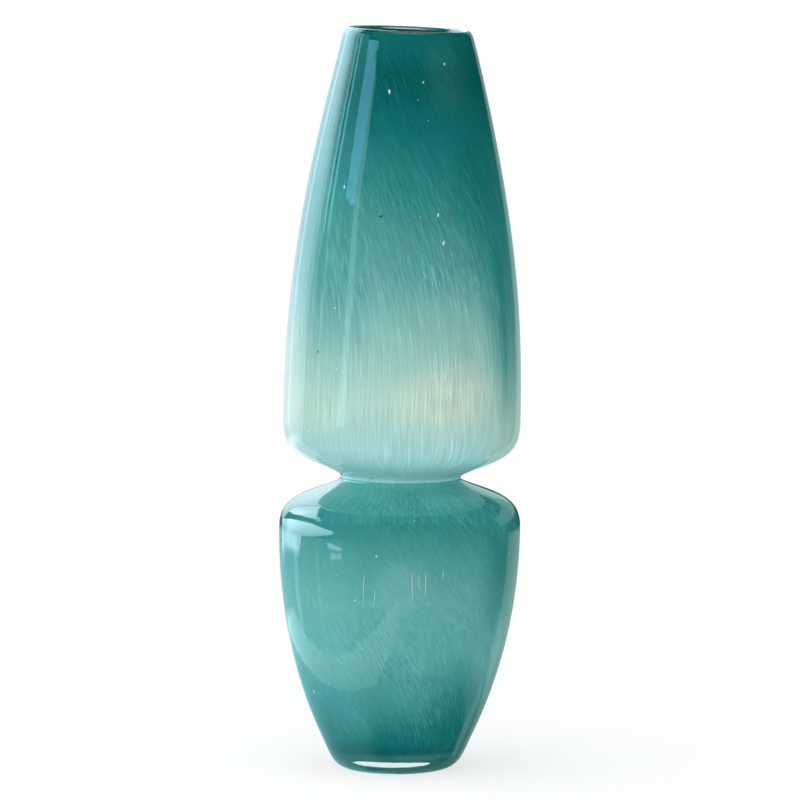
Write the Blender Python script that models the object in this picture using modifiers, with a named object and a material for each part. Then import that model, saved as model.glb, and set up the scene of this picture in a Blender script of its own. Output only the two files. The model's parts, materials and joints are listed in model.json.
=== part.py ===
"""Hand-blown cased glass vase: two coloured bubbles joined at a narrow waist, under one clear casing.

Every piece is a turned body of glass. From the outside in, the wall is a clear casing, a teal colour layer,
a white opal layer and a clear lining. The bubble above the waist and the one below it each have their own
colour layers and lining, which meet at the hot joint in the middle of the waist. The casing runs over both,
rolls over the lip to cover the ends of the colour layers, and stops at the heel, where a thick clear gather
closes the bottom. The gather's underside is ground flat, with a polished hollow where the pontil came off.

The frame: metres, +Z up along the vase's axis, origin at the centre of the ground foot.
"""

import math
from collections import namedtuple

import bpy

MM = 0.001

# Driving dimensions of the outer shape
HEIGHT = 380 * MM
LIP_RADIUS = 33.9 * MM  # at the outer side of the lip, just under its rounding
LIP_DROP = 5.4 * MM  # from the crest of the lip to its outer side
UPPER_RADIUS = 61.0 * MM
UPPER_WIDEST_Z = 181.3 * MM
WAIST_RADIUS = 30.9 * MM
WAIST_Z = 150.5 * MM
WAIST_STRAIGHT = 1.0 * MM  # length of the parallel stretch of the waist
LOWER_RADIUS = 61.9 * MM
LOWER_WIDEST_Z = 124.2 * MM
HEEL_RADIUS = 39.3 * MM
HEEL_Z = 18.0 * MM  # where the colour ends and the clear heel begins
FOOT_RADIUS = 22.3 * MM

# The wall, from the outside in
CASING = 2.4 * MM
TEAL = 0.9 * MM
OPAL = 0.8 * MM
LINING = 1.8 * MM
GAP = 0.3 * MM  # left between neighbours, which are fused on the real vase

# The bottom
CUP_Z = 10.5 * MM  # lowest point of the colour, on the axis
PONTIL_RADIUS = 14.0 * MM
PONTIL_DEPTH = 2.2 * MM

# The lip
CREST_INSET = 3.3 * MM  # from the outer side of the lip in to its crest
OPAL_RISE = 3.3 * MM  # from the outer side of the lip up to the end of the opal layer
TEAL_RISE = 4.5 * MM  # and up to the end of the teal layer outside it
TONGUE = 2.7 * MM  # how far the casing turns down inside the lip, over the lining's end

SEGMENTS = 32

# Depths below the outer skin at which each layer inside the casing starts, and where the hollow begins
TEAL_DEPTH = CASING + GAP
OPAL_DEPTH = TEAL_DEPTH + TEAL + GAP
LINING_DEPTH = OPAL_DEPTH + OPAL + GAP
WALL = LINING_DEPTH + LINING

# A place on an outline that runs from the lip down to the foot. The heading is the way the outline runs
# there, in degrees from straight down, and positive away from the axis. The reaches are the lengths of the
# curve's handles before and after the place.
Station = namedtuple("Station", "radius z heading reach_in reach_out")

# A point on an outline, with the heading there
Point = namedtuple("Point", "radius z heading")

CREST = Station(LIP_RADIUS - CREST_INSET, HEIGHT, 90, 2.0 * MM, 1.8 * MM)
LIP_SIDE = Station(LIP_RADIUS, HEIGHT - LIP_DROP, 14.1, 2.6 * MM, 76 * MM)
UPPER_WIDEST = Station(UPPER_RADIUS, UPPER_WIDEST_Z, 0, 70 * MM, 11.8 * MM)
UPPER_UNDERSIDE = Station(51.1 * MM, 161.3 * MM, -60.6, 8.0 * MM, 7.8 * MM)
WAIST_TOP = Station(WAIST_RADIUS, WAIST_Z + WAIST_STRAIGHT / 2, 0, 2.4 * MM, 0)
WAIST = Station(WAIST_RADIUS, WAIST_Z, 0, 0, 0)
WAIST_FOOT = Station(WAIST_RADIUS, WAIST_Z - WAIST_STRAIGHT / 2, 0, 0, 2.0 * MM)
SHOULDER = Station(48.8 * MM, 142.1 * MM, 67.5, 7.8 * MM, 10.1 * MM)
LOWER_WIDEST = Station(LOWER_RADIUS, LOWER_WIDEST_Z, 0, 9.6 * MM, 45.9 * MM)
CUP_EDGE = Station(HEEL_RADIUS, HEEL_Z, -25.3, 26.3 * MM, 12.3 * MM)
FOOT = Station(FOOT_RADIUS, 0, -90, 10.5 * MM, 0)


def travel(heading):
    """The unit vector along an outline, as (radius, z)."""
    angle = math.radians(heading)
    return math.sin(angle), -math.cos(angle)


def slid(point, distance):
    """The point moved on along its heading."""
    along = travel(point.heading)
    return Point(point.radius + distance * along[0], point.z + distance * along[1], point.heading)


def sunk(point, depth):
    """The point moved into the glass, square to the outline."""
    along = travel(point.heading)
    return Point(point.radius + depth * along[1], point.z - depth * along[0], point.heading)


def curve(start, end, steps):
    """Points on the cubic curve from one station to the next, with the start left out."""
    out, back = travel(start.heading), travel(end.heading)
    handles = (
        (start.radius, start.z),
        (start.radius + start.reach_out * out[0], start.z + start.reach_out * out[1]),
        (end.radius - end.reach_in * back[0], end.z - end.reach_in * back[1]),
        (end.radius, end.z),
    )
    points = []
    for step in range(1, steps + 1):
        t = step / steps
        shares = ((1 - t) ** 3, 3 * t * (1 - t) ** 2, 3 * t**2 * (1 - t), t**3)
        slopes = (-((1 - t) ** 2), (1 - t) ** 2 - 2 * t * (1 - t), 2 * t * (1 - t) - t**2, t**2)
        radius, z = (sum(s * h[axis] for s, h in zip(shares, handles)) for axis in (0, 1))
        run, drop = (sum(s * h[axis] for s, h in zip(slopes, handles)) for axis in (0, 1))
        straight = math.hypot(run, drop) < 1e-9 or step == steps
        heading = end.heading if straight else math.degrees(math.atan2(run, -drop))
        points.append(Point(radius, z, heading))
    return points


def outline(stations, steps):
    """Points along a run of stations, with a number of steps for each stretch between two."""
    points = [Point(*stations[0][:3])]
    for start, end, count in zip(stations, stations[1:], steps):
        points += curve(start, end, count)
    return points


def layer(points, outer_depth, thickness):
    """The section of a layer of even thickness: down its outer side and back up its inner side."""
    outer = [sunk(p, outer_depth) for p in points]
    inner = [sunk(p, outer_depth + thickness) for p in points]
    return outer + inner[::-1]


# Outlines of the outer skin, and of the rounded cup that closes the lower bubble
UPPER = outline((LIP_SIDE, UPPER_WIDEST, UPPER_UNDERSIDE, WAIST_TOP, WAIST), (5, 4, 3, 1))
LOWER = outline((WAIST, WAIST_FOOT, SHOULDER, LOWER_WIDEST, CUP_EDGE), (1, 4, 3, 5))
HEEL = outline((CUP_EDGE, FOOT), (5,))
LIP = outline((CREST, LIP_SIDE), (3,))


def cup_outline():
    """The bottom of the lower bubble's coloured outside, from the cup's edge to the axis."""
    edge = sunk(LOWER[-1], TEAL_DEPTH)
    start = Station(*edge, 0, 7.0 * MM)
    centre = Station(0.0, CUP_Z, -90, 16.0 * MM, 0)
    return curve(start, centre, 4)


CUP = cup_outline()


def casing_section():
    """The clear casing: over the lip, down to the heel, back up inside, and the tongue inside the lip."""
    lip_side = UPPER[0]
    teal_groove_top = slid(lip_side, -TEAL_RISE - GAP)
    opal_groove_top = slid(lip_side, -OPAL_RISE - GAP)
    outside = LIP + UPPER[1:] + LOWER[1:]
    inside = [sunk(p, CASING) for p in [teal_groove_top] + UPPER + LOWER[1:]]
    tongue_end = slid(lip_side, TONGUE)
    tongue = [
        sunk(teal_groove_top, OPAL_DEPTH),
        sunk(opal_groove_top, OPAL_DEPTH),
        sunk(opal_groove_top, LINING_DEPTH),
        sunk(tongue_end, LINING_DEPTH),
        sunk(tongue_end, WALL),
    ]
    inner_lip = Station(*sunk(lip_side, WALL)._replace(heading=lip_side.heading + 180), 0, 4.0 * MM)
    return outside + inside[::-1] + tongue + [Point(*inner_lip[:3])] + curve(inner_lip, CREST, 3)[:-1]


def heel_section():
    """The thick clear heel: from the axis out under the colour, round to the foot, and up over the hollow."""
    rim = slid(HEEL[0], GAP)
    top = [sunk(rim, CASING)] + [sunk(p, -GAP) for p in CUP]
    foot_inner = Station(PONTIL_RADIUS, 0, -117, 0, 5.0 * MM)
    hollow = curve(foot_inner, Station(0.0, PONTIL_DEPTH, -90, 6.0 * MM, 0), 3)
    return top[::-1] + [rim] + HEEL[1:] + [Point(*foot_inner[:3])] + hollow


def upper_section(top, depth, thickness):
    """A layer of the upper bubble, from its top down to the joint in the waist."""
    points = top + UPPER[1:-1] + [slid(UPPER[-1], -GAP / 2)]
    return layer(points, depth, thickness)


def lower_section(depth, thickness):
    """A layer of the lower bubble: from the axis up its inner side, and down its outer side to the axis."""
    side = [slid(LOWER[0], GAP / 2)] + LOWER[1:]
    outer = [sunk(p, depth) for p in side] + [sunk(p, depth - TEAL_DEPTH) for p in CUP]
    return [sunk(p, thickness) for p in outer][::-1] + outer


def material(name, colour, roughness, transmission):
    """A Principled material. The glass pieces let light through, and none is metallic."""
    made = bpy.data.materials.new(name)
    made.use_nodes = True
    shader = made.node_tree.nodes["Principled BSDF"]
    shader.inputs["Base Color"].default_value = (*colour, 1.0)
    shader.inputs["Roughness"].default_value = roughness
    shader.inputs["Metallic"].default_value = 0.0
    shader.inputs["Transmission Weight"].default_value = transmission
    shader.inputs["IOR"].default_value = 1.5
    made.diffuse_color = (*colour, 1.0 - 0.6 * transmission)
    return made


def turned(name, section, finish, collection):
    """A solid turned about Z from its section, which is a closed loop unless it starts and ends on the axis."""
    vertices = [(0.0 if abs(p.radius) < 1e-6 else p.radius, 0.0, p.z) for p in section]
    edges = [(i, i + 1) for i in range(len(vertices) - 1)]
    if vertices[0][0] > 0:
        edges.append((len(vertices) - 1, 0))
    mesh = bpy.data.meshes.new(name)
    mesh.from_pydata(vertices, edges, [])
    mesh.materials.append(finish)
    body = bpy.data.objects.new(name, mesh)
    collection.objects.link(body)
    screw = body.modifiers.new("turn", "SCREW")
    screw.axis = "Z"
    screw.angle = math.tau
    screw.steps = SEGMENTS
    screw.render_steps = SEGMENTS
    screw.use_merge_vertices = True
    screw.merge_threshold = 0.01 * MM
    screw.use_smooth_shade = True
    return body


def clear_scene():
    for obj in list(bpy.data.objects):
        bpy.data.objects.remove(obj, do_unlink=True)


def build():
    clear_scene()
    vase = bpy.data.collections.new("blown_glass_vase")
    bpy.context.scene.collection.children.link(vase)

    clear = material("clear_glass", (0.93, 0.98, 0.97), 0.02, 1.0)
    teal = material("teal_glass", (0.03, 0.27, 0.25), 0.15, 0.2)
    opal = material("opal_glass", (0.62, 0.78, 0.74), 0.3, 0.1)

    turned("clear_casing", casing_section(), clear, vase)
    turned("heel_gather", heel_section(), clear, vase)

    teal_top = [slid(UPPER[0], -TEAL_RISE), UPPER[0]]
    opal_top = [slid(UPPER[0], -OPAL_RISE), UPPER[0]]
    lining_top = [slid(UPPER[0], TONGUE + GAP)]
    turned("upper_teal_layer", upper_section(teal_top, TEAL_DEPTH, TEAL), teal, vase)
    turned("upper_opal_layer", upper_section(opal_top, OPAL_DEPTH, OPAL), opal, vase)
    turned("upper_lining", upper_section(lining_top, LINING_DEPTH, LINING), clear, vase)

    turned("lower_teal_layer", lower_section(TEAL_DEPTH, TEAL), teal, vase)
    turned("lower_opal_layer", lower_section(OPAL_DEPTH, OPAL), opal, vase)
    turned("lower_lining", lower_section(LINING_DEPTH, LINING), clear, vase)


build()
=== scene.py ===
"""The looks of the hand-blown cased glass vase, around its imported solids.

Each CAD solid gets a finer piece on the same section, in real glass: a clear casing with trapped air
seeds, streaked teal colour layers, white opal layers, clear linings and a thick clear heel. Where two
pieces are fused on the real vase, their shared faces are left invisible, so that light only bends where
glass meets air.
All pieces share the small lean, tilt and waviness of a vase that was shaped by hand.
"""

import json
import math
import random
from collections import namedtuple

import bmesh
import bpy
from mathutils import Matrix, Vector, noise

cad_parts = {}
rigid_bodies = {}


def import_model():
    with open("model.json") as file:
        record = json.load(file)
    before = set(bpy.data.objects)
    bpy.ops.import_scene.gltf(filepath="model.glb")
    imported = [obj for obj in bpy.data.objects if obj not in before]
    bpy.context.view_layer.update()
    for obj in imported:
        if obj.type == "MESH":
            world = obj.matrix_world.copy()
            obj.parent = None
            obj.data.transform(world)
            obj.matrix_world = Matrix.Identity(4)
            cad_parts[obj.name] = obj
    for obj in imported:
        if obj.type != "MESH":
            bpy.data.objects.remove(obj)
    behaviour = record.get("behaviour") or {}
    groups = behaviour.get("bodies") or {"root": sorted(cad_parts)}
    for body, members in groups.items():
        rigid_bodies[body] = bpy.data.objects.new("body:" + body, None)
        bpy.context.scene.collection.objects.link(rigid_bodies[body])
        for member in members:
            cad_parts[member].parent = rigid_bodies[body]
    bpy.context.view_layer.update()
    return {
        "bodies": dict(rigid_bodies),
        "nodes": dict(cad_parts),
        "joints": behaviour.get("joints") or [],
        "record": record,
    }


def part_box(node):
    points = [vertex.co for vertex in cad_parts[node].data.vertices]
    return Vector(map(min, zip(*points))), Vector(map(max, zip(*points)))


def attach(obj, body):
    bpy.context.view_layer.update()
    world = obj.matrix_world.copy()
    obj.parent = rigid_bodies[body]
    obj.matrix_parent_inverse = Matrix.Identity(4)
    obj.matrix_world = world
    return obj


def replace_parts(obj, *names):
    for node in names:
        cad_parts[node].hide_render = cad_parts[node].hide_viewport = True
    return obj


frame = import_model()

MM = 0.001


def top_of(node):
    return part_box(node)[1]


def bottom_of(node):
    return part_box(node)[0]


# The wall, from the outside in, and the gap that the CAD solids keep between fused pieces
CASING = 2.4 * MM
TEAL = 0.9 * MM
OPAL = 0.8 * MM
LINING = 1.8 * MM
GAP = 0.3 * MM
TEAL_DEPTH = CASING + GAP
OPAL_DEPTH = TEAL_DEPTH + TEAL + GAP
LINING_DEPTH = OPAL_DEPTH + OPAL + GAP
WALL = LINING_DEPTH + LINING
SEAM = 0.02 * MM  # left between two pieces where they meet in the outer skin
SEED_DEPTH = 1.3 * MM
SPECK_DEPTH = 2.3 * MM

# The outer shape: its extremes come from the CAD solids, and the rest are the vase's own dimensions
HEIGHT = top_of("clear_casing").z
UPPER_RADIUS = top_of("upper_teal_layer").x + TEAL_DEPTH
LOWER_RADIUS = top_of("clear_casing").x
WAIST_Z = bottom_of("upper_teal_layer").z - GAP / 2
HEEL_Z = bottom_of("clear_casing").z
LIP_RADIUS = 33.9 * MM
LIP_DROP = 5.4 * MM
UPPER_WIDEST_Z = WAIST_Z + 30.8 * MM
WAIST_RADIUS = 30.9 * MM
WAIST_STRAIGHT = 1.0 * MM
LOWER_WIDEST_Z = WAIST_Z - 26.3 * MM
HEEL_RADIUS = 39.3 * MM
FOOT_RADIUS = 22.3 * MM
CUP_Z = HEEL_Z - 7.5 * MM
PONTIL_RADIUS = 14.0 * MM
PONTIL_DEPTH = 2.2 * MM
CREST_INSET = 3.3 * MM
OPAL_RISE = 3.3 * MM
TEAL_RISE = 4.5 * MM
TONGUE = 2.7 * MM

SEGMENTS = 144
ON_AXIS = 1e-6  # a point nearer to the axis than this is on it
LONG_STEP = 2.4 * MM
TIGHT_STEP = 0.7 * MM

# The streaks of the colour
FLOW_RADIUS = 60 * MM
STREAK_WIDTH = 0.7 * MM
STREAK_LENGTH = 9 * MM
LOWER_SHORTENING = 1.6  # how much shorter the streaks of the lower bubble are
DRAWN_Z = 245 * MM  # below this the streaks of the upper bubble are longer
DRAWN_SHARE = 0.6  # 0 leaves them as they are, and near 1 they have no end
UPPER_TWIST = -41.0  # radians, times the square of the metres above UPPER_TWIST_Z
UPPER_TWIST_Z = WAIST_Z + 50 * MM
LOWER_TWIST = 9.5  # radians per metre below LOWER_TWIST_Z
LOWER_TWIST_Z = LOWER_WIDEST_Z + 8 * MM
CALM_TO_FULL = (205 * MM, 275 * MM)  # where the contrast of the streaks grows to its full
WISPS_FADE = (255 * MM, 320 * MM)  # where the white wisps fade out

# The lean and waviness of the hand-shaped vase
LOWER_LEAN = 0.0147  # sideways, as a share of the height above the foot
UPPER_TILT = math.radians(1.2)
UPPER_BEND = 0.015  # how much of the tilt the upper bubble loses, per metre of height, in radians
LIP_TILT = math.radians(1.3)
LIP_REACH = 14 * MM  # how far below the crest the lip's tilt starts
WAVE_HEIGHT = 0.16 * MM
WAVE_SCALE = 22.0  # waves per metre
WAVE_STRETCH = 0.8  # less than 1 where the waves are longer up the vase than round it
WAVE_START = 20 * MM  # the height over which the waves set in, above the true flat foot
NECK_REACH = 8 * MM  # the height of neck over which the upper bubble's tilt sets in

# The camera: its distance in heights of the vase, and how far above the lip it stands, as an angle
CAMERA_DISTANCE = 8
CAMERA_ANGLE = math.radians(2.5)
CAMERA_LENS = 268.6
CAMERA_TARGET_X = 2.0 * MM

Station = namedtuple("Station", "radius z heading reach_in reach_out")
Point = namedtuple("Point", "radius z heading")

CREST = Station(LIP_RADIUS - CREST_INSET, HEIGHT, 90, 2.0 * MM, 1.8 * MM)
LIP_SIDE = Station(LIP_RADIUS, HEIGHT - LIP_DROP, 14.1, 2.6 * MM, 76 * MM)
UPPER_WIDEST = Station(UPPER_RADIUS, UPPER_WIDEST_Z, 0, 70 * MM, 11.8 * MM)
UPPER_UNDERSIDE = Station(UPPER_RADIUS - 9.9 * MM, WAIST_Z + 10.8 * MM, -60.6, 8.0 * MM, 7.8 * MM)
WAIST_TOP = Station(WAIST_RADIUS, WAIST_Z + WAIST_STRAIGHT / 2, 0, 2.4 * MM, 0)
WAIST = Station(WAIST_RADIUS, WAIST_Z, 0, 0, 0)
WAIST_FOOT = Station(WAIST_RADIUS, WAIST_Z - WAIST_STRAIGHT / 2, 0, 0, 2.0 * MM)
SHOULDER = Station(LOWER_RADIUS - 13.1 * MM, WAIST_Z - 8.4 * MM, 67.5, 7.8 * MM, 10.1 * MM)
LOWER_WIDEST = Station(LOWER_RADIUS, LOWER_WIDEST_Z, 0, 9.6 * MM, 45.9 * MM)
CUP_EDGE = Station(HEEL_RADIUS, HEEL_Z, -25.3, 26.3 * MM, 12.3 * MM)
FOOT = Station(FOOT_RADIUS, 0, -90, 10.5 * MM, 0)


# ---------------------------------------------------------------- sections


def travel(heading):
    """The unit vector along an outline, as (radius, z), for a heading in degrees from straight down."""
    angle = math.radians(heading)
    return math.sin(angle), -math.cos(angle)


def slid(point, distance):
    """The point moved on along its heading."""
    along = travel(point.heading)
    return Point(point.radius + distance * along[0], point.z + distance * along[1], point.heading)


def sunk(point, depth):
    """The point moved into the glass, square to the outline."""
    along = travel(point.heading)
    return Point(point.radius + depth * along[1], point.z - depth * along[0], point.heading)


def curve(start, end):
    """Points on the cubic curve from one station to the next, closer together where it is tight."""
    out, back = travel(start.heading), travel(end.heading)
    handles = (
        (start.radius, start.z),
        (start.radius + start.reach_out * out[0], start.z + start.reach_out * out[1]),
        (end.radius - end.reach_in * back[0], end.z - end.reach_in * back[1]),
        (end.radius, end.z),
    )
    span = math.hypot(end.radius - start.radius, end.z - start.z)
    turn = abs(end.heading - start.heading)
    steps = max(1, round(span / (TIGHT_STEP if turn > 40 else LONG_STEP)), round(turn / 5))
    points = []
    for step in range(1, steps + 1):
        t = step / steps
        shares = ((1 - t) ** 3, 3 * t * (1 - t) ** 2, 3 * t**2 * (1 - t), t**3)
        slopes = (-((1 - t) ** 2), (1 - t) ** 2 - 2 * t * (1 - t), 2 * t * (1 - t) - t**2, t**2)
        radius, z = (sum(s * h[axis] for s, h in zip(shares, handles)) for axis in (0, 1))
        run, drop = (sum(s * h[axis] for s, h in zip(slopes, handles)) for axis in (0, 1))
        straight = math.hypot(run, drop) < 1e-9 or step == steps
        heading = end.heading if straight else math.degrees(math.atan2(run, -drop))
        points.append(Point(radius, z, heading))
    return points


def outline(*stations):
    points = [Point(*stations[0][:3])]
    for start, end in zip(stations, stations[1:]):
        points += curve(start, end)
    return points


UPPER = outline(LIP_SIDE, UPPER_WIDEST, UPPER_UNDERSIDE, WAIST_TOP, WAIST)
LOWER = outline(WAIST, WAIST_FOOT, SHOULDER, LOWER_WIDEST, CUP_EDGE)
HEEL = outline(CUP_EDGE, FOOT)
LIP = outline(CREST, LIP_SIDE)
CUP = curve(
    Station(*sunk(LOWER[-1], TEAL_DEPTH), 0, 7.0 * MM), Station(0.0, CUP_Z, -90, 16.0 * MM, 0)
)

# A section is a list of (points, face) runs. A run's face says what its surface is, and the surface
# between two runs is fused.
AIR, FUSED = 0, 1


def casing_section():
    """The clear casing: over the lip, down to the heel, back up inside, and the tongue inside the lip."""
    lip_side = UPPER[0]
    teal_groove_top = slid(lip_side, -TEAL_RISE - GAP)
    opal_groove_top = slid(lip_side, -OPAL_RISE - GAP)
    inside = [sunk(p, CASING) for p in [teal_groove_top] + UPPER + LOWER[1:]]
    tongue_end = slid(lip_side, TONGUE)
    tongue = [sunk(teal_groove_top, OPAL_DEPTH), sunk(opal_groove_top, OPAL_DEPTH)]
    tongue += [sunk(opal_groove_top, LINING_DEPTH), sunk(tongue_end, LINING_DEPTH)]
    turned_up = sunk(lip_side, WALL)._replace(heading=lip_side.heading + 180)
    inner_lip = [sunk(tongue_end, WALL), turned_up]
    inner_lip += curve(Station(*turned_up, 0, 4.0 * MM), CREST)
    return [(inner_lip + LIP[1:] + UPPER[1:] + LOWER[1:], AIR), (inside[::-1] + tongue, FUSED)]


def heel_section():
    """The thick clear heel: out under the colour from the axis, then round to the foot and its hollow."""
    rim = slid(HEEL[0], SEAM)
    top = [sunk(rim, CASING)] + [sunk(p, -GAP) for p in CUP]
    foot_inner = Station(PONTIL_RADIUS, 0, -117, 0, 5.0 * MM)
    hollow = curve(foot_inner, Station(0.0, PONTIL_DEPTH, -90, 6.0 * MM, 0))
    return [(top[::-1], FUSED), ([rim] + HEEL[1:] + [Point(*foot_inner[:3])] + hollow, AIR)]


def upper_section(top, depth, thickness, inner=FUSED):
    points = top + UPPER[1:-1] + [slid(UPPER[-1], -SEAM / 2)]
    inside = [sunk(p, depth + thickness) for p in points][::-1]
    return [([sunk(p, depth) for p in points], FUSED), (inside, inner)]


def lower_section(depth, thickness, inner=FUSED):
    side = [slid(LOWER[0], SEAM / 2)] + LOWER[1:]
    outer = [sunk(p, depth) for p in side] + [sunk(p, depth - TEAL_DEPTH) for p in CUP]
    return [([sunk(p, thickness) for p in outer][::-1], inner), (outer, FUSED)]


# ---------------------------------------------------------------- the hand-made shape


def smooth(t):
    t = min(1.0, max(0.0, t))
    return t * t * (3 - 2 * t)


def hand_shaped(point):
    """Where a point of the true turned shape lies on the leaning, slightly wavy vase."""
    x, y, z = point
    radius = math.hypot(x, y)
    if radius > ON_AXIS:
        wave = noise.noise(Vector((x, y, z * WAVE_STRETCH)) * WAVE_SCALE) * WAVE_HEIGHT
        wave *= smooth(z / WAVE_START)
        x += wave * x / radius
        y += wave * y / radius
    z -= x * math.tan(LIP_TILT) * smooth((z - (HEIGHT - LIP_REACH)) / LIP_REACH)
    # The upper bubble turns about the waist, eased in through the neck
    above = z - WAIST_Z
    tilt = (UPPER_TILT - UPPER_BEND * max(0.0, above)) * smooth(above / NECK_REACH + 0.5)
    leaning = x * math.cos(tilt) + above * math.sin(tilt)
    z = WAIST_Z + above * math.cos(tilt) - x * math.sin(tilt)
    return Vector((leaning + min(z, WAIST_Z) * LOWER_LEAN, y, z))


# ---------------------------------------------------------------- materials


def setting(tree, socket, value):
    """Feeds a node's input: with another node's output, or with a plain value."""
    if isinstance(value, bpy.types.NodeSocket):
        tree.links.new(value, socket)
    elif isinstance(value, (tuple, list)) and len(value) == 3 and socket.type == "RGBA":
        socket.default_value = (*value, 1.0)
    else:
        socket.default_value = value


def add(tree, kind, inputs=(), output=0, **properties):
    """A new node's output. inputs maps an input's name or number to its value."""
    node = tree.nodes.new(kind)
    for name, value in properties.items():
        setattr(node, name, value)
    for name, value in dict(inputs).items():
        setting(tree, node.inputs[name], value)
    return node.outputs[output]


def calc(tree, operation, a, b=0.0, c=0.0, clamp=False):
    return add(tree, "ShaderNodeMath", {0: a, 1: b, 2: c}, operation=operation, use_clamp=clamp)


def ease(tree, value, low, high, to_low=0.0, to_high=1.0):
    """value carried smoothly from low..high to to_low..to_high, and held beyond them."""
    inputs = {"Value": value, 1: low, 2: high, 3: to_low, 4: to_high}
    return add(tree, "ShaderNodeMapRange", inputs, interpolation_type="SMOOTHSTEP")


def mixed(tree, factor, a, b, blend="MIX"):
    inputs = {0: factor, 6: a, 7: b}
    return add(tree, "ShaderNodeMix", inputs, 2, data_type="RGBA", blend_type=blend)


def scaled(tree, vector, share):
    return add(tree, "ShaderNodeVectorMath", {0: vector, 3: share}, operation="SCALE")


def ramp(tree, value, stops):
    """A colour ramp from (place, linear colour) stops."""
    node = tree.nodes.new("ShaderNodeValToRGB")
    tree.links.new(value, node.inputs[0])
    elements = node.color_ramp.elements
    while len(elements) < len(stops):
        elements.new(0.5)
    for element, (place, colour) in zip(elements, stops):
        element.position = place
        element.color = (*colour, 1.0)
    return node.outputs[0]


def noise_of(tree, vector, scale, detail=2.0, roughness=0.5, output=0, distortion=0.0):
    inputs = {"Vector": vector, "Scale": scale, "Detail": detail, "Roughness": roughness}
    inputs["Distortion"] = distortion
    return add(tree, "ShaderNodeTexNoise", inputs, output)


def new_material(name):
    material = bpy.data.materials.new(name)
    material.use_nodes = True
    material.node_tree.nodes.clear()
    return material, material.node_tree


def surface(tree, shader):
    output = tree.nodes.new("ShaderNodeOutputMaterial")
    tree.links.new(shader, output.inputs["Surface"])


def mix_shader(tree, factor, a, b):
    return add(tree, "ShaderNodeMixShader", {0: factor, 1: a, 2: b})


def see_through(tree, colour=(1, 1, 1)):
    return add(tree, "ShaderNodeBsdfTransparent", {"Color": colour})


def glass_material(name, tint):
    """Fire-polished clear glass. It lets the soft light through, so that the colour is lit evenly."""
    material, tree = new_material(name)
    place = add(tree, "ShaderNodeTexCoord", output=3)
    ripple = noise_of(tree, place, 45.0, 3.0)
    bump = add(tree, "ShaderNodeBump", {"Strength": 0.05, "Distance": 0.002, "Height": ripple})
    # The upper bubble is polished a touch less than the lower, and the studio tells them apart by that
    height = add(tree, "ShaderNodeSeparateXYZ", {0: place}, 2)
    upper = ease(tree, noise_of(tree, place, 160.0), 0.3, 0.8, 0.006, 0.014)
    roughness = calc(tree, "MULTIPLY", calc(tree, "GREATER_THAN", height, WAIST_Z), upper)
    inputs = {
        "Base Color": tint,
        "Roughness": roughness,
        "IOR": 1.5,
        "Transmission Weight": 1.0,
        "Normal": bump,
    }
    glass = add(tree, "ShaderNodeBsdfPrincipled", inputs)
    path = tree.nodes.new("ShaderNodeLightPath")
    lit = mix_shader(tree, path.outputs["Is Diffuse Ray"], glass, see_through(tree))
    surface(tree, mix_shader(tree, path.outputs["Is Shadow Ray"], lit, see_through(tree)))
    return material


def fused_material():
    material, tree = new_material("fused_glass_joint")
    surface(tree, see_through(tree))
    return material


def streaks(tree):
    """(fine, broad, cloud): the streaks of the colour, drawn out along the flow, each about 0..1."""
    flow = add(tree, "ShaderNodeAttribute", output=1, attribute_name="flow")
    warp = noise_of(tree, flow, 40.0, 2.0, output=1)
    bent = add(tree, "ShaderNodeVectorMath", {0: warp, 1: (0.5, 0.5, 0.5)}, operation="SUBTRACT")
    bent = scaled(tree, bent, 2.2 * MM)
    bent = add(tree, "ShaderNodeVectorMath", {0: flow, 1: bent}, operation="ADD")
    fine = noise_of(tree, bent, 1 / STREAK_WIDTH, 2.0, 0.6)
    broad = noise_of(tree, bent, 0.3 / STREAK_WIDTH, 3.0, 0.55)
    place = add(tree, "ShaderNodeTexCoord", output=3)
    cloud = noise_of(tree, place, 38.0, 4.0, 0.55)
    return fine, broad, cloud


def patch(tree, place, centre, reach):
    """1 at a point of the glass and 0 outside an ellipsoid round it. Both are in millimetres."""
    centre = [value * MM for value in centre]
    reach = [value * MM for value in reach]
    offset = add(tree, "ShaderNodeVectorMath", {0: place, 1: centre}, operation="SUBTRACT")
    offset = add(tree, "ShaderNodeVectorMath", {0: offset, 1: reach}, operation="DIVIDE")
    distance = add(tree, "ShaderNodeVectorMath", {0: offset}, 1, operation="LENGTH")
    return ease(tree, distance, 0.1, 1.0, 1.0, 0.0)


# How a streaked colour layer looks. stops run up the height. feather is how far the streaks carry one stop
# into the next, as a share of the height. contrast is how much lighter and darker than the mean the streaks
# are, in powers of two. wisp is the share of white where the opal shows between them. sags are places where
# the colour of another height is taken, as (centre, reach, share of the height), and glows are pale
# patches, partly the opal showing through and partly a painted glow that stands in for light coming through
# the wall, as (centre, reach, share, colour), with centre and reach in millimetres. calm is the share of
# the contrast that is left low down, and through is the strength of a painted glow: an emission in the
# layer's own colour that stands in for the light that comes through the wall and makes the inside of the
# vase glow a little.
Colour = namedtuple("Colour", "stops feather contrast wisp sags glows calm through", defaults=(1.0, 0.0))


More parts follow.
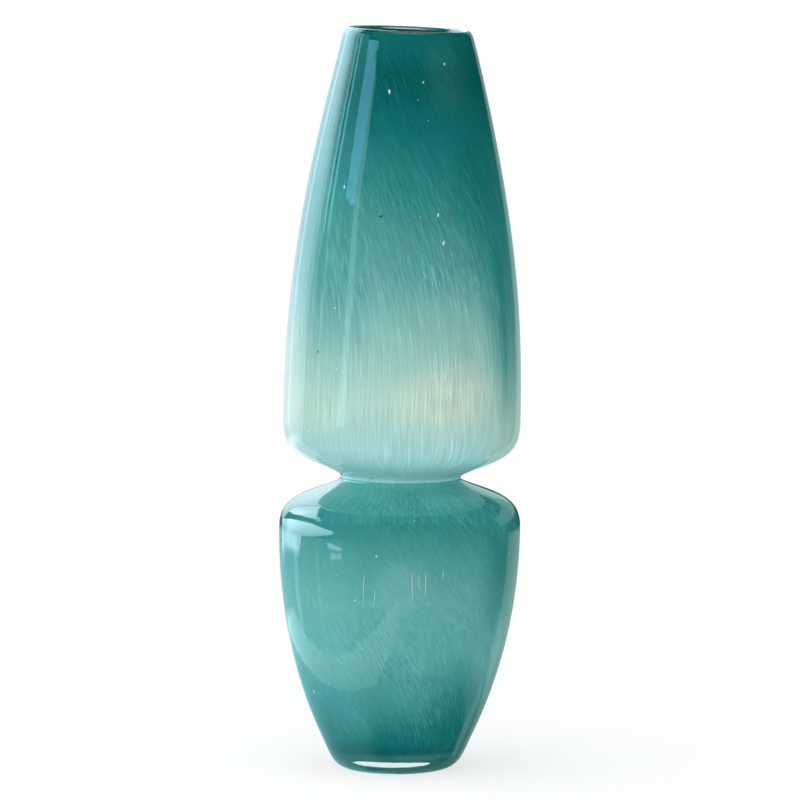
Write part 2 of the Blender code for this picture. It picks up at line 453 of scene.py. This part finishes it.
def colour_material(name, look):
    """Coloured glass laid in streaks, which feather one colour into the next up the height."""
    material, tree = new_material(name)
    fine, broad, cloud = streaks(tree)
    place = add(tree, "ShaderNodeTexCoord", output=3)
    height = add(tree, "ShaderNodeSeparateXYZ", {0: place}, 2)
    looked_up = calc(tree, "DIVIDE", height, HEIGHT)
    shift = calc(tree, "MULTIPLY_ADD", broad, 0.6, calc(tree, "MULTIPLY", fine, 0.4))
    patchy = calc(tree, "SUBTRACT", cloud, 0.5)
    looked_up = calc(tree, "MULTIPLY_ADD", calc(tree, "SUBTRACT", shift, 0.5), look.feather, looked_up)
    looked_up = calc(tree, "MULTIPLY_ADD", patchy, look.feather * 0.7, looked_up)
    for centre, reach, share in look.sags:
        looked_up = calc(tree, "MULTIPLY_ADD", patch(tree, place, centre, reach), share, looked_up)
    colour = ramp(tree, looked_up, look.stops)
    # Pale patches: partly the opal showing through, partly a painted glow standing in for light that comes
    # through the wall
    for centre, reach, share, light in look.glows:
        here = patch(tree, place, centre, reach)
        ragged = ease(tree, calc(tree, "MULTIPLY_ADD", broad, 0.5, cloud), 0.45, 0.95, 0.3, 1.3)
        here = calc(tree, "MULTIPLY", calc(tree, "MULTIPLY", here, share), ragged, clamp=True)
        colour = mixed(tree, here, colour, light)
    # Fine streaks of light and dark, more marked in some places than in others
    strength = noise_of(tree, place, 26.0, 2.0)
    strength = ease(tree, strength, 0.35, 0.7, look.contrast * 0.55, look.contrast * 1.2)
    strength = calc(tree, "MULTIPLY", strength, ease(tree, height, *CALM_TO_FULL, look.calm, 1.0))
    light = calc(tree, "SUBTRACT", ease(tree, fine, 0.28, 0.74), 0.5)
    light = calc(tree, "MULTIPLY", light, strength)
    light = calc(tree, "MULTIPLY_ADD", patchy, look.contrast * 0.5, light)
    gain = calc(tree, "POWER", 2.0, light)
    grey = add(tree, "ShaderNodeCombineColor", {0: gain, 1: gain, 2: gain})
    colour = mixed(tree, 1.0, colour, grey, "MULTIPLY")
    # Wisps of white, where the opal shows between the streaks
    thin = ease(tree, noise_of(tree, place, 30.0, 2.0), 0.45, 0.75)
    thin = calc(tree, "MULTIPLY", thin, ease(tree, height, *WISPS_FADE, 1.0, 0.12))
    thin = calc(tree, "MULTIPLY", calc(tree, "MULTIPLY", ease(tree, fine, 0.56, 0.76), thin), look.wisp)
    colour = mixed(tree, thin, colour, (0.62, 0.8, 0.76))
    inputs = {"Base Color": colour, "Roughness": 1.0, "Specular IOR Level": 0.0}
    # A painted glow: emission in the layer's own colour, as strong as through, standing in for light that
    # comes through the wall
    inputs.update({"Emission Color": colour, "Emission Strength": look.through})
    surface(tree, add(tree, "ShaderNodeBsdfPrincipled", inputs))
    return material


def seed_material():
    """The skin of an air bubble, painted near-white as a painted reflection: the light of the room that it
    throws back out of the casing.
    """
    material, tree = new_material("air_seed")
    place = add(tree, "ShaderNodeTexCoord", output=3)
    # Near-white colour: a painted reflection standing in for the light the bubble throws back
    colour = mixed(tree, noise_of(tree, place, 700.0), (0.9, 0.96, 0.96), (0.75, 0.9, 0.89))
    inputs = {"Base Color": colour, "Roughness": 0.15}
    inputs.update({"Specular IOR Level": 0.8, "Transmission Weight": 0.25})
    surface(tree, add(tree, "ShaderNodeBsdfPrincipled", inputs))
    return material


def speck_material():
    material, tree = new_material("dark_speck")
    place = add(tree, "ShaderNodeTexCoord", output=3)
    colour = mixed(tree, noise_of(tree, place, 900.0), (0.004, 0.012, 0.01), (0.02, 0.04, 0.035))
    surface(tree, add(tree, "ShaderNodeBsdfPrincipled", {"Base Color": colour, "Roughness": 0.6}))
    return material


# Linear colours up the height of the vase, as shares of its full height
UPPER_STOPS = (
    # The first two, at the waist and the underside of the upper bubble, are partly the glass's own pale
    # colour and partly painted light, lightened for the light that reaches them from below and from inside
    # the vase
    (0.39, (0.40, 0.72, 0.70)),
    (0.43, (0.39, 0.73, 0.735)),
    (0.455, (0.35, 0.61, 0.595)),
    (0.50, (0.40, 0.60, 0.53)),
    (0.53, (0.36, 0.575, 0.52)),
    (0.60, (0.235, 0.47, 0.44)),
    (0.68, (0.10, 0.325, 0.31)),
    (0.78, (0.027, 0.215, 0.205)),
    (0.87, (0.005, 0.135, 0.130)),
    (0.93, (0.0015, 0.092, 0.088)),
    (0.98, (0.004, 0.115, 0.11)),
)
LOWER_STOPS = (
    (0.02, (0.003, 0.12, 0.12)),
    (0.06, (0.009, 0.16, 0.155)),
    (0.11, (0.05, 0.27, 0.265)),
    (0.17, (0.105, 0.365, 0.36)),
    (0.24, (0.115, 0.375, 0.36)),
    (0.31, (0.065, 0.285, 0.27)),
    (0.345, (0.03, 0.22, 0.21)),
    (0.365, (0.05, 0.30, 0.285)),
    (0.378, (0.085, 0.42, 0.40)),
    (0.395, (0.105, 0.47, 0.45)),
)
OPAL_UPPER_STOPS = (
    (0.45, (0.62, 0.74, 0.70)),
    (0.75, (0.32, 0.55, 0.52)),
    (0.97, (0.03, 0.20, 0.19)),
)
OPAL_LOWER_STOPS = (
    (0.05, (0.10, 0.34, 0.33)),
    (0.25, (0.45, 0.65, 0.62)),
    (0.40, (0.5, 0.68, 0.64)),
)

WARM_WHITE = (0.60, 0.70, 0.57)
UPPER_COLOUR = Colour(
    UPPER_STOPS, 0.085, 0.78, 0.42,
    sags=(
        ((54, -28, 225), (16, 24, 75), 0.04),
        ((58, -24, 235), (24, 30, 130), 0.06),
        ((51, -27, 215), (7, 7, 75), 0.05),
        ((-34, -50, 235), (30, 30, 45), 0.03),
        ((44, -36, 290), (24, 26, 70), 0.05),
        ((-20, -50, 300), (30, 30, 60), -0.02),
    ),
    # pale warm patches, partly the glass's own cream colour and partly a painted glow standing in for light
    # that comes through the wall from behind
    glows=(
        ((30, -54, 196), (44, 34, 24), 0.75, WARM_WHITE),
        ((24, -28, 354), (18, 18, 30), 0.06, (0.2, 0.5, 0.48)),
        ((-20, 56, 200), (60, 30, 30), 0.6, WARM_WHITE),
    ),
    calm=0.6,
)
LOWER_COLOUR = Colour(
    LOWER_STOPS, 0.05, 0.42, 0.12,
    sags=(
        ((40, -40, 40), (30, 30, 40), -0.03),
        ((52, -30, 85), (22, 26, 60), 0.07),
        ((-30, -50, 28), (34, 34, 16), 0.03),
    ),
    glows=(
        ((4, -62, 100), (26, 12, 22), 0.25, (0.3, 0.55, 0.53)),
        # a painted glow on the underside of the colour's cup, standing in for the light that comes up
        # through the clear heel
        ((0, 0, 10.3), (200, 200, 3.2), 0.6, (0.10, 0.32, 0.30)),
    ),
)
# through gives the opal layers a painted glow: an emission in their own colour that stands in for light
# coming through the wall
UPPER_OPAL = Colour(OPAL_UPPER_STOPS, 0.08, 0.9, 0.2, (), (), through=0.14)
LOWER_OPAL = Colour(OPAL_LOWER_STOPS, 0.06, 0.6, 0.2, (), (), through=0.14)


# ---------------------------------------------------------------- pieces


def placed(name, mesh):
    """An object with this mesh and material slot, which rides on the vase's one body."""
    piece = bpy.data.objects.new(name, mesh)
    bpy.context.scene.collection.objects.link(piece)
    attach(piece, "root")
    return piece


def flow_of(point, angle, upper):
    """Where a point lies on the drawn-out colour. Its streaks run along the last axis, twisted about Z."""
    draw = STREAK_WIDTH / STREAK_LENGTH
    if upper:
        along = point.z - (UPPER_RADIUS - point.radius) * (point.z < UPPER_WIDEST_Z)
        along += DRAWN_SHARE * max(0.0, DRAWN_Z - along)
        twist = UPPER_TWIST * max(0.0, point.z - UPPER_TWIST_Z) ** 2
    else:
        along = point.z + (LOWER_RADIUS - point.radius) * (point.z > LOWER_WIDEST_Z)
        twist = LOWER_TWIST * max(0.0, LOWER_TWIST_Z - point.z)
        draw *= LOWER_SHORTENING
    around = angle - twist
    return FLOW_RADIUS * math.cos(around), FLOW_RADIUS * math.sin(around), along * draw


def turned_piece(name, section, finishes, upper=True):
    """A piece turned from its section and shaped by hand, with finishes for its AIR and FUSED faces."""
    points, faces = [], []
    for run, face in section:
        for place, point in enumerate(run):
            points.append(point)
            faces.append(face if place + 1 < len(run) else FUSED)
    closed = points[0].radius > ON_AXIS
    vertices, rings, flows = [], [], []
    for point in points:
        on_axis = point.radius <= ON_AXIS
        ring = []
        for step in range(1 if on_axis else SEGMENTS):
            angle = math.tau * step / SEGMENTS
            ring.append(len(vertices))
            x, y = point.radius * math.cos(angle), point.radius * math.sin(angle)
            vertices.append(hand_shaped((0.0 if on_axis else x, 0.0 if on_axis else y, point.z)))
            flows.append(flow_of(point, angle, upper))
        rings.append(ring)
    polygons, indices = [], []
    pairs = list(zip(rings, rings[1:] + rings[:1]))
    for (first, second), face in zip(pairs if closed else pairs[:-1], faces):
        for step in range(SEGMENTS):
            after = (step + 1) % SEGMENTS
            corners = [first[step % len(first)], second[step % len(second)]]
            if len(second) > 1:
                corners.append(second[after])
            if len(first) > 1:
                corners.append(first[after])
            polygons.append(corners)
            indices.append(face)
    mesh = bpy.data.meshes.new(name)
    mesh.from_pydata(vertices, [], polygons)
    for finish in finishes:
        mesh.materials.append(finish)
    mesh.polygons.foreach_set("material_index", indices)
    mesh.polygons.foreach_set("use_smooth", [True] * len(polygons))
    attribute = mesh.attributes.new("flow", "FLOAT_VECTOR", "POINT")
    attribute.data.foreach_set("vector", [value for flow in flows for value in flow])
    mesh.set_sharp_from_angle(angle=math.radians(35))
    return placed(name, mesh)


def skin_point(height, around):
    """(point, outwards, down): the turned outline at a height, and unit vectors from it, before shaping."""
    whole = UPPER + LOWER[1:]
    above = [p for p in whole if p.z >= height][-1]
    below = [p for p in whole if p.z < height][0]
    share = (above.z - height) / (above.z - below.z)
    radius = above.radius + share * (below.radius - above.radius)
    heading = above.heading + share * (below.heading - above.heading)
    along = travel(heading)
    outwards = Vector((-along[1] * math.sin(around), along[1] * math.cos(around), along[0]))
    down = Vector((along[0] * math.sin(around), -along[0] * math.cos(around), along[1]))
    return Vector((radius * math.sin(around), -radius * math.cos(around), height)), outwards, down


def bubble(mesh, height, around, depth, width, length, slant):
    """Adds an elongated bubble or speck under the skin. Angles are in degrees, around is 0 at the front."""
    place, outwards, down = skin_point(height, math.radians(around))
    across = down.cross(outwards)
    turn = Matrix.Rotation(math.radians(slant), 3, outwards)
    down = turn @ down
    across = turn @ across
    made = bmesh.ops.create_icosphere(mesh, subdivisions=3, radius=1.0)
    for vertex in made["verts"]:
        unit = vertex.co.copy()
        taper = 1.0 - 0.25 * unit.z
        offset = across * unit.x * width / 2 * taper + down * unit.z * length / 2
        offset += outwards * unit.y * width * 0.4
        vertex.co = hand_shaped(place - outwards * depth + offset)


def bubble_piece(name, material, rows):
    mesh = bmesh.new()
    for row in rows:
        bubble(mesh, *row)
    data = bpy.data.meshes.new(name)
    mesh.to_mesh(data)
    mesh.free()
    data.polygons.foreach_set("use_smooth", [True] * len(data.polygons))
    data.materials.append(material)
    placed(name, data)


def seeds():
    """Air seeds in the casing: a few large ones at the front, and small ones scattered all round."""
    chance = random.Random(7)
    # (height, degrees round, depth, width, length, slant in degrees)
    rows = [
        (364 * MM, 31, SEED_DEPTH, 0.7 * MM, 1.3 * MM, 0),
        (350 * MM, -13.5, SEED_DEPTH, 1.0 * MM, 2.5 * MM, 8),
        (355 * MM, 12, SEED_DEPTH, 0.6 * MM, 1.2 * MM, -10),
        (289 * MM, 18.4, SEED_DEPTH, 0.8 * MM, 2.0 * MM, -8),
        (275 * MM, 21, 1.2 * MM, 0.9 * MM, 2.2 * MM, -8),
        (241 * MM, -37, SEED_DEPTH, 0.6 * MM, 1.0 * MM, -12),
        (210 * MM, -34, 1.2 * MM, 0.8 * MM, 1.6 * MM, -10),
        (208 * MM, 21, 1.2 * MM, 0.9 * MM, 2.4 * MM, -6),
        (117 * MM, -11, SEED_DEPTH, 0.7 * MM, 1.1 * MM, -30),
        (94 * MM, -22, SEED_DEPTH, 0.6 * MM, 1.0 * MM, -30),
        # drawn out into threads, on the front of the lower bubble
        (99 * MM, -17.4, SEED_DEPTH, 0.22 * MM, 17 * MM, -3),
        (95 * MM, -12.0, SEED_DEPTH, 0.17 * MM, 10 * MM, -6),
        (101 * MM, 6.4, SEED_DEPTH, 0.22 * MM, 15 * MM, 3),
        (104 * MM, 9.5, SEED_DEPTH, 0.17 * MM, 8 * MM, -3),
        (102 * MM, 12.8, SEED_DEPTH, 0.2 * MM, 13 * MM, 0),
        (107 * MM, 21.5, SEED_DEPTH, 0.26 * MM, 5 * MM, 0),
    ]
    for _ in range(46):
        height = chance.uniform(24, 366) * MM
        around = chance.uniform(65, 325)
        width = chance.uniform(0.35, 0.9) * MM
        length = width * chance.uniform(1.2, 2.6)
        rows.append((height, around, SEED_DEPTH, width, length, chance.uniform(-25, 0)))
    for _ in range(16):
        height = chance.uniform(24, 366) * MM
        width = chance.uniform(0.25, 0.45) * MM
        around = chance.uniform(-65, 65)
        length = width * chance.uniform(1.2, 2.2)
        rows.append((height, around, SEED_DEPTH, width, length, -10))
    return rows


def specks():
    """Dark specks in the colour: a few at the front, and small ones scattered round the back."""
    chance = random.Random(3)
    rows = [
        (288 * MM, -14, SPECK_DEPTH, 1.2 * MM, 1.3 * MM, 0),
        (218 * MM, -47, SPECK_DEPTH, 0.8 * MM, 0.9 * MM, 0),
        (152 * MM, -28, 2.2 * MM, 0.8 * MM, 1.2 * MM, 0),
        (137 * MM, 60, SPECK_DEPTH, 1.0 * MM, 1.2 * MM, 0),
    ]
    for _ in range(7):
        size = chance.uniform(0.4, 0.9) * MM
        height = chance.uniform(40, 340) * MM
        around = chance.uniform(70, 320)
        rows.append((height, around, SPECK_DEPTH, size, size * 1.2, 0))
    return rows


def make_vase():
    clear = glass_material("clear_glass", (0.975, 0.992, 0.988))
    fused = fused_material()
    skin = (clear, fused)
    upper_teal = colour_material("upper_teal", UPPER_COLOUR)
    lower_teal = colour_material("lower_teal", LOWER_COLOUR)
    upper_opal = colour_material("upper_opal", UPPER_OPAL)
    lower_opal = colour_material("lower_opal", LOWER_OPAL)

    casing = turned_piece("casing_clear", casing_section(), skin)
    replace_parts(casing, "clear_casing")
    heel_glass = glass_material("clear_heel", (0.8, 0.92, 0.91))
    heel = turned_piece("heel_clear", heel_section(), (heel_glass, fused))
    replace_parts(heel, "heel_gather")

    teal_top = [slid(UPPER[0], -TEAL_RISE), UPPER[0]]
    opal_top = [slid(UPPER[0], -OPAL_RISE), UPPER[0]]
    lining_top = [slid(UPPER[0], TONGUE + SEAM)]
    teal_above = upper_section(teal_top, TEAL_DEPTH, TEAL)
    opal_above = upper_section(opal_top, OPAL_DEPTH, OPAL)
    teal_below = lower_section(TEAL_DEPTH, TEAL)
    opal_below = lower_section(OPAL_DEPTH, OPAL)
    layers = (
        ("teal_upper", teal_above, upper_teal, "upper_teal", "upper_teal_layer"),
        ("opal_upper", opal_above, upper_opal, "opal", "upper_opal_layer"),
        ("teal_lower", teal_below, lower_teal, "lower_teal", "lower_teal_layer"),
        ("opal_lower", opal_below, lower_opal, "opal", "lower_opal_layer"),
    )
    for name, section, finish, slot_name, node in layers:
        piece = turned_piece(name, section, (finish, finish), "upper" in name)
        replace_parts(piece, node)
    inner_above = upper_section(lining_top, LINING_DEPTH, LINING, AIR)
    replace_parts(turned_piece("lining_upper", inner_above, skin), "upper_lining")
    inner_below = lower_section(LINING_DEPTH, LINING, AIR)
    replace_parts(turned_piece("lining_lower", inner_below, skin), "lower_lining")
    bubble_piece("air_seeds", seed_material(), seeds())
    bubble_piece("dark_specks", speck_material(), specks())


# ---------------------------------------------------------------- the studio


def between(tree, value, low, high, soft):
    """1 where value lies between low and high, with soft edges. low and high may be sockets."""
    above = ease(tree, calc(tree, "SUBTRACT", value, low), -soft / 2, soft / 2)
    below = ease(tree, calc(tree, "SUBTRACT", high, value), -soft / 2, soft / 2)
    return calc(tree, "MULTIPLY", above, below)


def line_of(tree, value, knots):
    """A number that follows value along straight stretches between (value, number) knots, in degrees."""
    share = calc(tree, "DIVIDE", calc(tree, "ADD", value, 180.0), 360.0)
    stops = [((at + 180) / 360, ((number + 180) / 360,) * 3) for at, number in sorted(knots)]
    level = add(tree, "ShaderNodeSeparateColor", {0: ramp(tree, share, stops)})
    return calc(tree, "MULTIPLY_ADD", level, 360.0, -180.0)


def studio_reflections(tree, azimuth, elevation):
    """What polished glass mirrors: a dark room with tall windows to the left, and a pale wall to the right.

    The room is close, so the two bubbles show it differently: the result is (upper, lower). Azimuths are
    0 towards the camera and 90 to the right; elevations are above the horizon, all in degrees."""

    def panel(left, right, low, high, colour, soft=1.0, soft_ends=1.5):
        """A flat light. Its sides may be knots over the elevation, and its ends knots over the azimuth."""
        sides = [line_of(tree, elevation, e) if isinstance(e, list) else e for e in (left, right)]
        ends = [line_of(tree, azimuth, e) if isinstance(e, list) else e for e in (low, high)]
        share = between(tree, azimuth, *sides, soft)
        share = calc(tree, "MULTIPLY", share, between(tree, elevation, *ends, soft_ends))
        return scaled(tree, colour, share)

    def shade(value, knots):
        """A colour that follows value between (value, colour) knots, in degrees."""
        share = calc(tree, "DIVIDE", calc(tree, "ADD", value, 180.0), 360.0)
        return ramp(tree, share, [((at + 180) / 360, colour) for at, colour in knots])

    def together(lights):
        total = dark_room
        for light in lights:
            total = add(tree, "ShaderNodeVectorMath", {0: total, 1: light}, operation="ADD")
        return total

    dark_room = (0.012, 0.016, 0.016)

    # The upper bubble: a tall window with the folds of a pale curtain, its frame, and a strip of sky
    frame_edge = [(-25, -125), (-8, -110.5), (3, -110.5), (8, -107.5), (14, -109.5)]
    jamb_left = [
        (-6, -66), (-4, -64.5), (1, -60.5), (11.5, -60.5), (13, -61.2), (17, -58.8), (20, -56.2),
        (23, -53.5),
    ]
    jamb_right = [
        (-6, -57), (-4, -56.5), (1, -54.5), (6, -53), (12, -54.5), (16, -54), (18.4, -52.5),
        (23, -51),
    ]
    behind = shade(elevation, [
        (-12, (1.15, 1.2, 1.3)), (-5, (1.7, 1.75, 1.95)), (1, (1.9, 2.4, 2.8)), (4, (2.0, 2.9, 3.4)),
        (8, (3.0, 4.5, 5.0)), (12, (3.4, 5.1, 5.6)),
    ])
    fold = calc(tree, "SUBTRACT", azimuth, line_of(tree, elevation, frame_edge))
    fold = add(tree, "ShaderNodeTexNoise", {"W": fold, "Scale": 0.11, "Detail": 2.0}, noise_dimensions="1D")
    fold = ease(tree, fold, 0.3, 0.7, 0.75, 1.2)
    fold = calc(tree, "MULTIPLY", fold, ease(tree, azimuth, -158, -140, 0.65, 1.0))
    frame = shade(elevation, [
        (-4, (0.05, 0.1, 0.15)), (2, (0.35, 0.7, 0.9)), (6, (0.8, 1.3, 1.6)), (10, (1.1, 2.4, 2.7)),
    ])
    upper = together((
        panel(-190, frame_edge, -22, 44, scaled(tree, behind, fold), 1.2, 8),
        panel(frame_edge, -101, -20, 30, frame, 0.8),
        panel(-101, -98.6, 7, 30, (2.4, 4.6, 5.0), 0.8, 3),
        panel(-97, -75, 7, 30, (0.3, 0.85, 1.0), 1, 5),
        panel(-94.6, -90.6, 8, 30, (1.1, 3.0, 3.5), 1, 3),
        panel(-91.5, -89, -4, 8, (0.5, 0.9, 1.0), 1, 3),
        panel([(11, -73.2), (15, -73.5), (20, -74.5)], jamb_left, [(-73, 12.4), (-61, 12.9)],
              [(-73, 21.8), (-53, 22.9)], (1.25, 3.4, 5.3), 0.8, 0.5),
        panel(jamb_left, jamb_right, -6, 22.4, (1.2, 1.9, 2.0), 0.9, 1),
        panel(-181, 181, 60, 95, (0.9, 1.2, 1.2), 1, 10),
        panel(-172, -122, -42, -13, (0.85, 0.9, 1.0), 6, 4),
        panel([(-30, 136), (-10, 144), (2, 147), (14, 150)], 190, -40, 60, (0.42, 0.56, 0.53), 3),
    ))

    # The lower bubble: the pale wall behind, the high and the low window, the sill, and the table
    wall = shade(elevation, [
        (3, (1.1, 1.3, 1.4)), (12, (1.5, 1.75, 1.9)), (20, (2.1, 2.2, 2.4)), (30, (2.3, 2.5, 2.8)),
        (42, (2.3, 3.3, 4.0)),
    ])
    high = shade(azimuth, [
        (-150, (2.4, 3.0, 3.3)), (-143, (4.0, 4.4, 5.0)), (-135, (5.4, 5.7, 6.6)), (-122, (4.6, 5.9, 7.1)),
        (-112, (4.6, 6.8, 8.0)), (-104, (2.3, 4.6, 5.6)), (-92, (1.7, 3.7, 4.7)),
    ])
    low = shade(elevation, [
        (-8, (2.5, 3.5, 4.0)), (-5, (2.6, 3.6, 4.1)), (0, (3.8, 5.2, 6.0)), (5, (4.6, 6.6, 8.0)),
        (11, (5.5, 7.7, 9.3)),
    ])
    low = scaled(tree, low, ease(tree, azimuth, -146, -128, 0.45, 1.0))
    high_bottom = [(-150, 13), (-140, 17), (-128, 24.5), (-117, 27), (-106, 31.5), (-94, 27)]
    high_top = [(-150, 40), (-142, 42), (-130, 43), (-118, 41), (-112, 38), (-102, 38), (-93, 31)]
    low_bottom = [
        (-150, -8.3), (-138, -8), (-124, -8.5), (-113, -9.3), (-106, -5.5), (-92, -5), (-83, -2.5),
        (-74, -0.5), (-66, 4),
    ]
    low_top = [
        (-150, 0.5), (-143, 5), (-131, 10.5), (-121, 14.5), (-109, 18), (-98, 19), (-86, 15.5),
        (-76, 12.5), (-68, 10),
    ]
    table_near = [
        (-160, -11.5), (-141, -17), (-114, -25.6), (-86, -33.6), (-58, -39.2), (-29, -41), (-3, -31),
    ]
    table_far = [
        (-160, -11), (-132, -14), (-112, -20), (-91, -25.8), (-75, -28.5), (-53, -29.8), (-25, -27),
        (-3, -20.8),
    ]
    lower = together((
        panel(-190, -149, -1, [(-180, 31), (-166, 34.5), (-153, 42), (-146, 44)], wall, 3, 4),
        panel(-150, -92, high_bottom, high_top, high, 3, 1.6),
        panel(-153, -67, low_bottom, low_top, low, 3, 1.6),
        panel(-73, -57, [(-73, -8.1), (-57, -8.9)], [(-73, -7.3), (-57, -8.1)], (2.6, 4.3, 6.0), 1, 0.4),
        panel(-70, -57, -10.6, -9.2, (2.1, 2.6, 2.9), 2, 0.8),
        panel(-220, -50, -60, -6, (0.36, 0.8, 0.9), 44, 3),
        panel(-123, -116, -18, -6, (0.6, 0.9, 1.0), 2, 3),
        panel(-88.5, -84.5, -25, -8, (0.3, 0.5, 0.55), 1.5, 3),
        panel(-176, -2, table_near, table_far, (0.8, 1.0, 0.95), 8, 1.2),
        # and, to the right, the far wall and the pale things that stand against it
        panel(112, 190, 5, [(112, 22), (140, 26), (166, 22), (180, 20)], (0.42, 0.6, 0.55), 3, 3),
        panel(168, 178, 5, 18, (0.25, 0.4, 0.45), 2, 3),
        panel(128, 190, -22, -7, (0.4, 0.44, 0.4), 1.5, 2),
        panel(124, 190, -62, -22, (0.2, 0.26, 0.23), 3, 2),
        panel(122, 146, -22, -16, (0.2, 0.26, 0.26), 3, 2),
        panel(97, 136, -33, -24, (0.3, 0.4, 0.4), 4, 3),
    ))
    return upper, lower


def studio_world():
    """Soft light, brighter from the left and above; white behind; windows for the reflections."""
    world = bpy.data.worlds.new("studio")
    bpy.context.scene.world = world
    world.use_nodes = True
    tree = world.node_tree
    tree.nodes.clear()
    direction = add(tree, "ShaderNodeTexCoord", output=0)
    split = tree.nodes.new("ShaderNodeSeparateXYZ")
    tree.links.new(direction, split.inputs[0])
    x, y, z = split.outputs
    azimuth = calc(tree, "ARCTAN2", x, calc(tree, "MULTIPLY", y, -1.0))
    azimuth = calc(tree, "MULTIPLY", azimuth, 180 / math.pi)
    elevation = calc(tree, "MULTIPLY", calc(tree, "ARCSINE", z), 180 / math.pi)
    # Soft light: even, plus a share from the left and front, plus a share from above
    key = math.radians(-50)
    side = Vector((math.sin(key), -math.cos(key), 0.0))
    left = add(tree, "ShaderNodeVectorMath", {0: direction, 1: side}, 1, operation="DOT_PRODUCT")
    level = calc(tree, "MULTIPLY_ADD", left, 0.66, 0.75)
    level = calc(tree, "MULTIPLY_ADD", z, 0.5, level)
    level = calc(tree, "MAXIMUM", level, 0.05)
    cool = mixed(tree, ease(tree, left, -1.0, 0.2), (0.72, 1.0, 0.97), (1.0, 1.0, 1.0))
    soft = scaled(tree, cool, level)
    path = tree.nodes.new("ShaderNodeLightPath")
    upper, lower = studio_reflections(tree, azimuth, elevation)
    mirrored = mixed(tree, path.outputs["Is Singular Ray"], upper, lower)
    colour = mixed(tree, path.outputs["Is Glossy Ray"], soft, mirrored)
    seen = calc(tree, "MAXIMUM", path.outputs["Is Camera Ray"], path.outputs["Is Transmission Ray"])
    colour = mixed(tree, seen, colour, (1.02, 1.02, 1.02))
    background = add(tree, "ShaderNodeBackground", {"Color": colour, "Strength": 1.0})
    output = tree.nodes.new("ShaderNodeOutputWorld")
    tree.links.new(background, output.inputs["Surface"])


def studio_floor():
    material, tree = new_material("pale_floor")
    place = add(tree, "ShaderNodeTexCoord", output=3)
    colour = mixed(tree, noise_of(tree, place, 3.0, 3.0), (0.36, 0.36, 0.36), (0.38, 0.38, 0.38))
    inputs = {"Base Color": colour, "Roughness": 0.9, "Specular IOR Level": 0.0}
    inputs.update({"Emission Color": (1, 1, 1), "Emission Strength": 0.63})
    surface(tree, add(tree, "ShaderNodeBsdfPrincipled", inputs))
    bpy.ops.mesh.primitive_plane_add(size=60.0, location=(0, 0, 0))
    floor = bpy.context.object
    floor.name = "floor"
    floor.data.materials.append(material)
    floor.visible_glossy = False


def studio_camera():
    """Well away from the vase and a little above its lip, looking down at its middle."""
    data = bpy.data.cameras.new("camera")
    camera = bpy.data.objects.new("camera", data)
    bpy.context.scene.collection.objects.link(camera)
    target = Vector((CAMERA_TARGET_X, 0.0, HEIGHT / 2))
    away = CAMERA_DISTANCE * HEIGHT
    camera.location = (target.x, -away, HEIGHT + away * math.tan(CAMERA_ANGLE))
    camera.rotation_euler = (target - camera.location).to_track_quat("-Z", "Y").to_euler()
    data.sensor_width = 36
    data.lens = CAMERA_LENS
    data.clip_end = 200
    bpy.context.scene.camera = camera


make_vase()
studio_world()
studio_floor()
studio_camera()
bpy.context.scene.view_settings.view_transform = "Standard"
